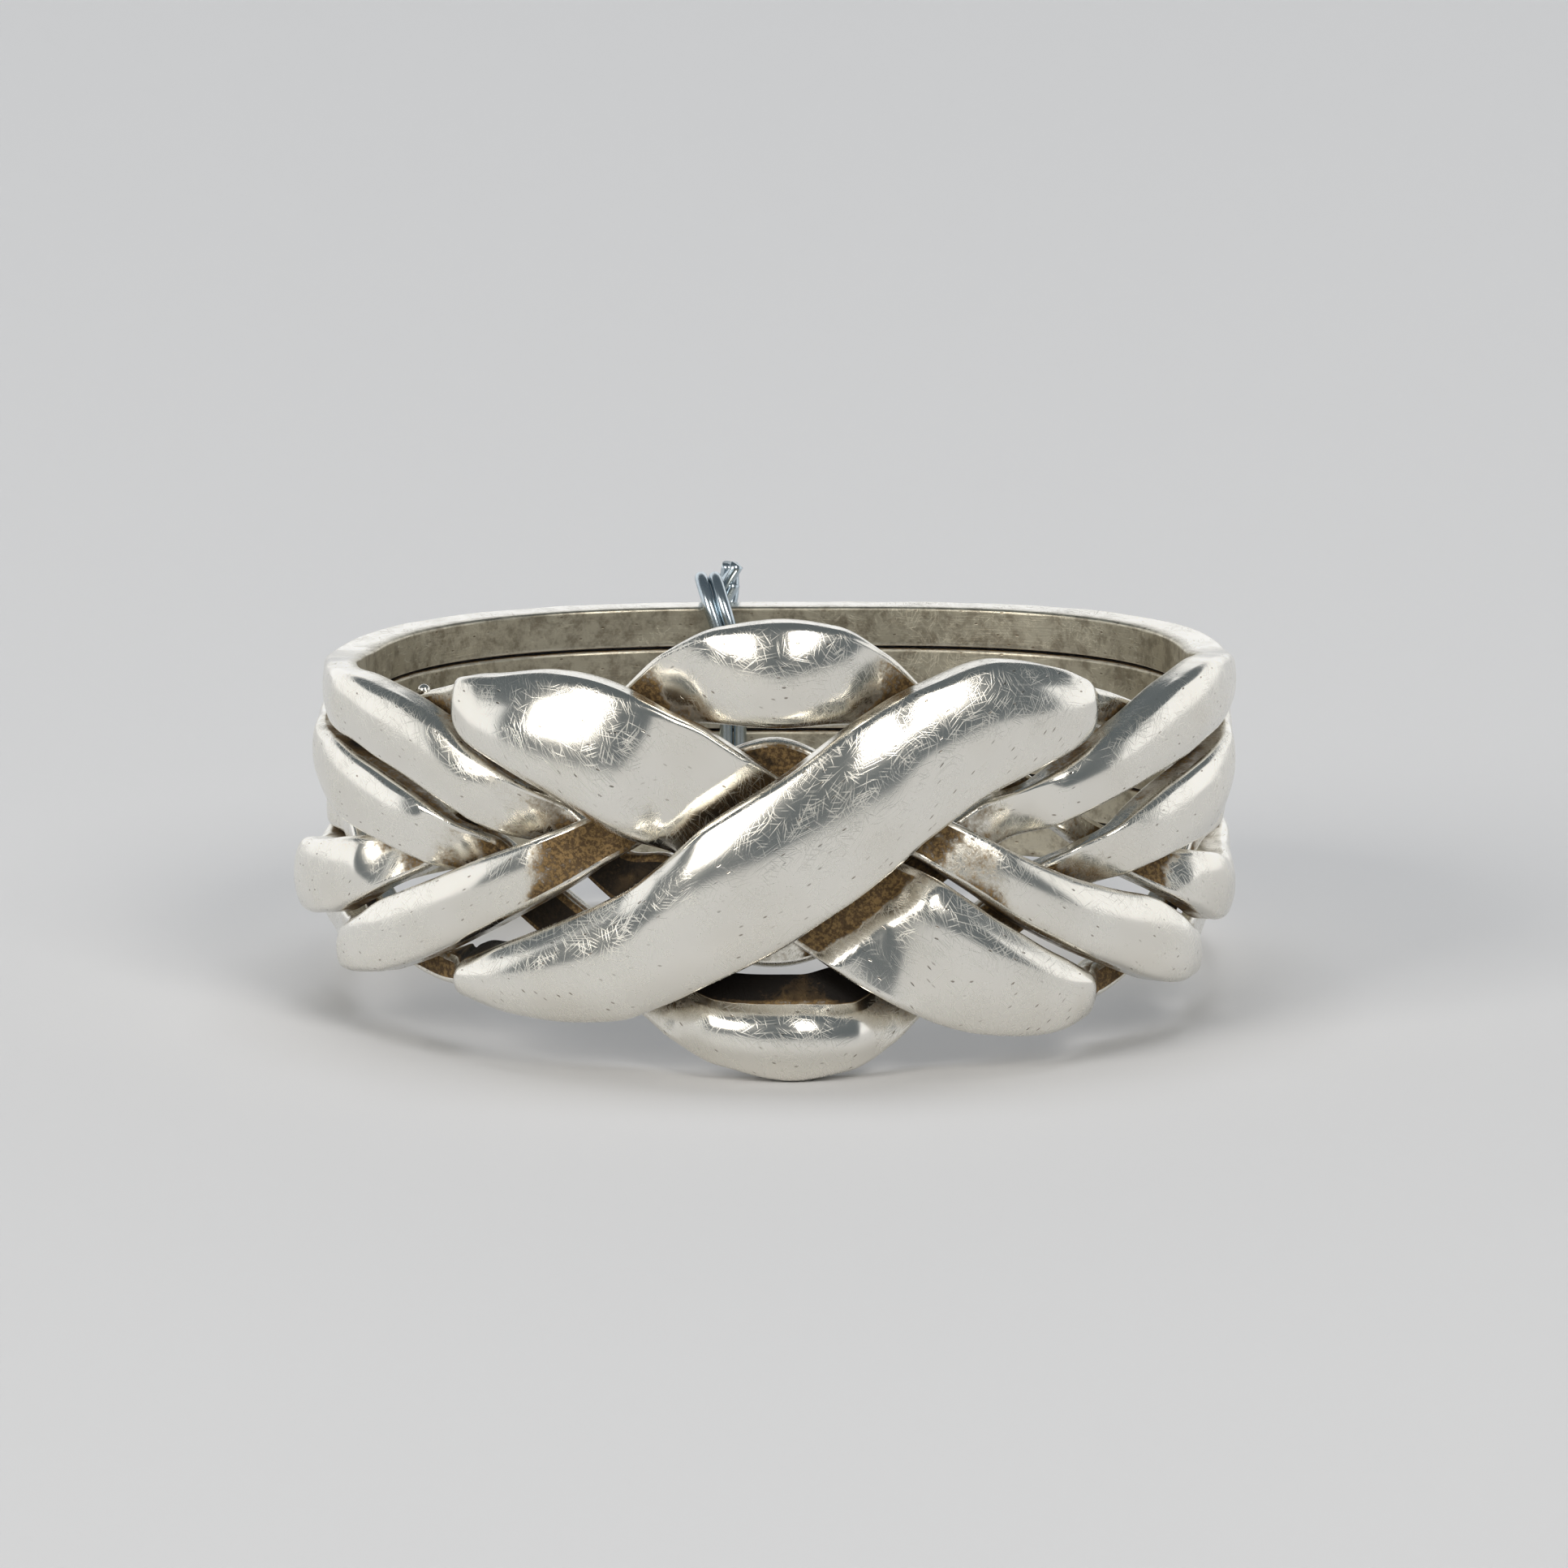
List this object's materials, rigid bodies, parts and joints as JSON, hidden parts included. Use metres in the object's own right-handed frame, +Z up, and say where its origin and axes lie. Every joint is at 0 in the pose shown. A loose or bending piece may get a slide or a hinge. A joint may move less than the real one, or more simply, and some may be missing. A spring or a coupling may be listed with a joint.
{
  "type": "six-band puzzle ring",
  "caption": "Woven six-band puzzle ring in worn silver, its bands held together by a thin wire tie round the back.",
  "frame": {"origin": "on the axis of the finger bore, at mid height of the stack of bands at the back", "axes": "+Z up along the finger bore, -Y out through the middle of the woven knot, +Y to the back where the tie sits, +X to the wearer's right when the knot faces them"},
  "size_m": [0.0221, 0.0239, 0.0107],
  "materials": {
    "worn_silver": "polished and worn, oxidised brown in the recesses",
    "tie_steel": "bright soft wire"
  },
  "bodies": {
    "core_band": {"band_3": "worn_silver"},
    "top_band": {"band_1": "worn_silver"},
    "second_band": {"band_2": "worn_silver"},
    "fourth_band": {"band_4": "worn_silver"},
    "fifth_band": {"band_5": "worn_silver"},
    "bottom_band": {"band_6": "worn_silver"},
    "tie": {"tie_wire": "tie_steel"}
  },
  "joints": [
    {"name": "fan_top_band", "type": "hinge", "parent": "core_band", "child": "top_band", "pos_m": [0, -0.0108, 0], "axis": [1, 0, 0], "range_deg": [0, 0.6]},
    {"name": "fan_second_band", "type": "hinge", "parent": "core_band", "child": "second_band", "pos_m": [0, -0.0108, 0], "axis": [1, 0, 0], "range_deg": [0, 0.3]},
    {"name": "fan_fourth_band", "type": "hinge", "parent": "core_band", "child": "fourth_band", "pos_m": [0, -0.0108, 0], "axis": [1, 0, 0], "range_deg": [-0.3, 0]},
    {"name": "fan_fifth_band", "type": "hinge", "parent": "core_band", "child": "fifth_band", "pos_m": [0, -0.0108, 0], "axis": [1, 0, 0], "range_deg": [-0.6, 0]},
    {"name": "fan_bottom_band", "type": "hinge", "parent": "core_band", "child": "bottom_band", "pos_m": [0, -0.0108, 0], "axis": [1, 0, 0], "range_deg": [-0.9, 0]},
    {"name": "tie_slide", "type": "slide", "parent": "core_band", "child": "tie", "axis": [1, 0, 0], "range_m": [-0.0008, 0.0036]}
  ],
  "couplings": [
    {"joint": "fan_second_band", "follows": "fan_top_band", "ratio": 0.5},
    {"joint": "fan_fourth_band", "follows": "fan_top_band", "ratio": -0.5},
    {"joint": "fan_fifth_band", "follows": "fan_top_band", "ratio": -1},
    {"joint": "fan_bottom_band", "follows": "fan_top_band", "ratio": -1.5}
  ]
}
